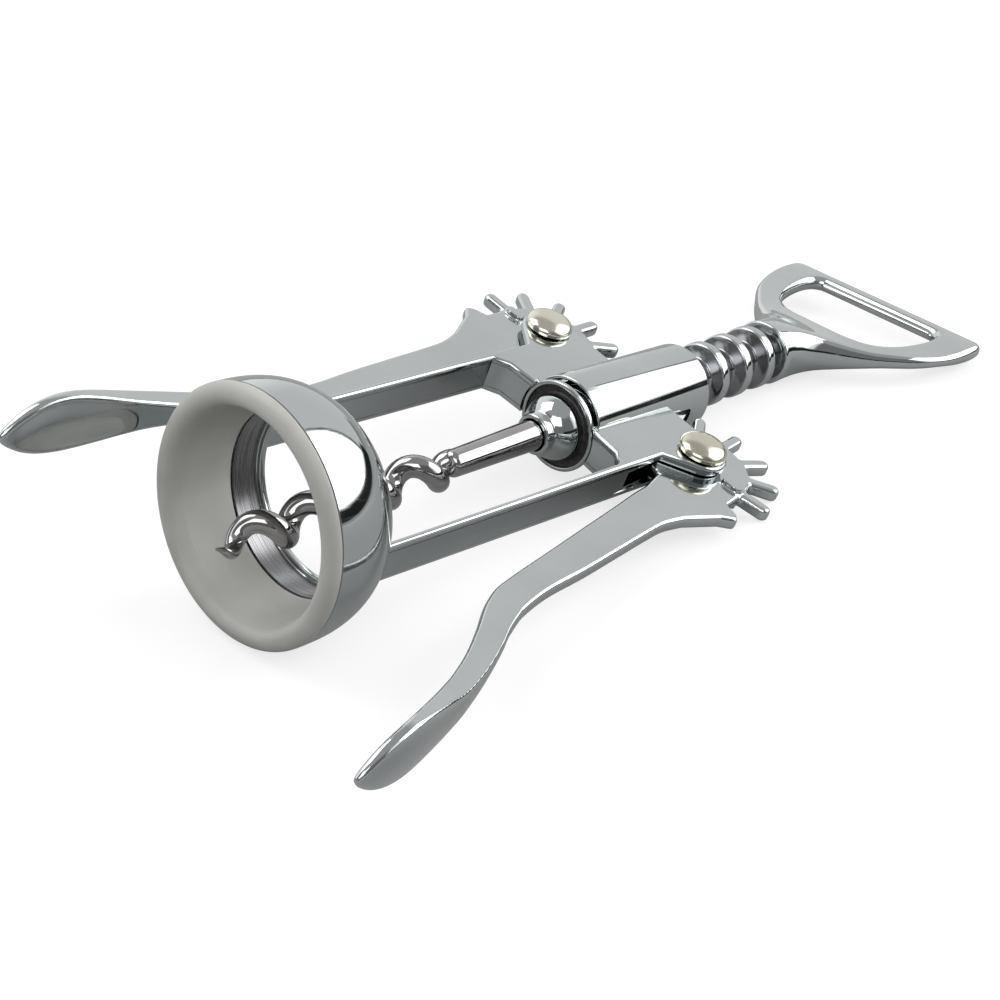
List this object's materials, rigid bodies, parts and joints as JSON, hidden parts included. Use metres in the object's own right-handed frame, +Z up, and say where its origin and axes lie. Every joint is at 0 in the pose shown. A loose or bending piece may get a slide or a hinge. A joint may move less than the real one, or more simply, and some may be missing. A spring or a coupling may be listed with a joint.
{
  "type": "wing corkscrew",
  "caption": "Wing corkscrew with a bell and soft liner, two geared levers, a ribbed rack, a pointed worm and a loop handle that opens crown caps.",
  "frame": {"origin": "on the surface that the corkscrew lies on, below the middle of its bounding box", "axes": "+Y runs along the corkscrew from the bell to the handle, +X points to the lever that is nearer in the picture, +Z is up"},
  "size_m": [0.0866, 0.1998, 0.043],
  "materials": {
    "chrome_plate": "polished chrome plate on a zinc casting",
    "worm_steel": "polished chrome plate on steel wire",
    "warm_nickel": "polished, with a pale warm tint",
    "liner_plastic": "smooth moulded plastic, warm light grey"
  },
  "bodies": {
    "frame": {"frame": "chrome_plate", "bell_liner": "liner_plastic", "rivet_right": "warm_nickel", "rivet_left": "warm_nickel"},
    "collar": {"stop_collar": "chrome_plate"},
    "stem": {"rack_stem": "chrome_plate", "worm": "worm_steel", "opener_handle": "chrome_plate"},
    "lever_right": {"lever_right": "chrome_plate"},
    "lever_left": {"lever_left": "chrome_plate"}
  },
  "joints": [
    {"name": "stem_slide", "type": "slide", "parent": "frame", "child": "collar", "axis": [-0.0121, -0.9968, 0.0789], "range_m": [0, 0.03]},
    {"name": "handle_spin", "type": "hinge", "parent": "collar", "child": "stem", "pos_m": [-0.00763, 0.01357, 0.01026], "axis": [0.0121, 0.9968, -0.0789], "continuous": true},
    {"name": "lever_right_hinge", "type": "hinge", "parent": "frame", "child": "lever_right", "pos_m": [0.01208, 0.01151, 0.00555], "axis": [0.2429, 0.1233, 0.9622], "range_deg": [0, 121]},
    {"name": "lever_left_hinge", "type": "hinge", "parent": "frame", "child": "lever_left", "pos_m": [-0.02734, 0.01276, 0.01534], "axis": [-0.2429, -0.1233, -0.9622], "range_deg": [0, 121]}
  ],
  "couplings": [
    {"joint": "lever_right_hinge", "follows": "stem_slide", "rad_per_m": 70.08},
    {"joint": "lever_left_hinge", "follows": "stem_slide", "rad_per_m": 70.08}
  ]
}
